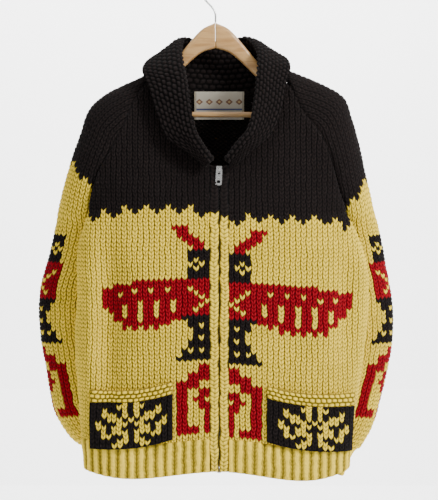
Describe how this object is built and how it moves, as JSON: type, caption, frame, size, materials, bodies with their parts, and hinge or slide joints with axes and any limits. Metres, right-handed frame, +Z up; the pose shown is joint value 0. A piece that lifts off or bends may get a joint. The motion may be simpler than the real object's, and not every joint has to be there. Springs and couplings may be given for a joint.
{
  "type": "cowichan cardigan on a wooden hanger",
  "caption": "Bulky hand-knit zip cardigan with a rolled shawl collar and patch pockets, hanging on a plain wooden hanger with a wire hook.",
  "frame": {"origin": "the underside of the top of the wire hook, where a rod carries the hanger", "axes": "+Z up, the wearer's front faces -Y, the wearer's left arm is on +X"},
  "size_m": [0.572, 0.1806, 0.7993],
  "materials": {
    "cream_wool": "thick cream wool knit",
    "charcoal_wool": "thick charcoal-brown wool knit",
    "varnished_wood": "clear varnish",
    "bright_steel": "bright nickel",
    "zip_tape": "woven cotton tape",
    "woven_label": "woven satin"
  },
  "bodies": {
    "root": {"sleeve_left": "cream_wool", "sleeve_right": "cream_wool", "cuff_left": "cream_wool", "cuff_right": "cream_wool", "front_left": "cream_wool", "front_right": "cream_wool", "hem_rib_front_left": "cream_wool", "hem_rib_front_right": "cream_wool", "back": "cream_wool", "hem_rib_back": "cream_wool", "band_left": "cream_wool", "band_right": "cream_wool", "pocket_band_left": "cream_wool", "pocket_band_right": "cream_wool", "collar": "charcoal_wool", "pocket_left": "charcoal_wool", "pocket_right": "charcoal_wool", "hanger_arm_left": "varnished_wood", "hanger_arm_right": "varnished_wood", "trouser_bar": "varnished_wood", "zip_chain": "bright_steel", "slider": "bright_steel", "slider_arch": "bright_steel", "zip_box": "bright_steel", "hook": "bright_steel", "zip_tape_left": "zip_tape", "zip_tape_right": "zip_tape", "neck_label": "woven_label"},
    "pull_tab": {"pull_tab": "bright_steel"}
  },
  "joints": [
    {"name": "pull_tab_hinge", "type": "hinge", "parent": "root", "child": "pull_tab", "pos_m": [0.006, -0.0666, -0.3032], "axis": [-0.9986, 0, 0.0523], "range_deg": [0, 150]}
  ]
}
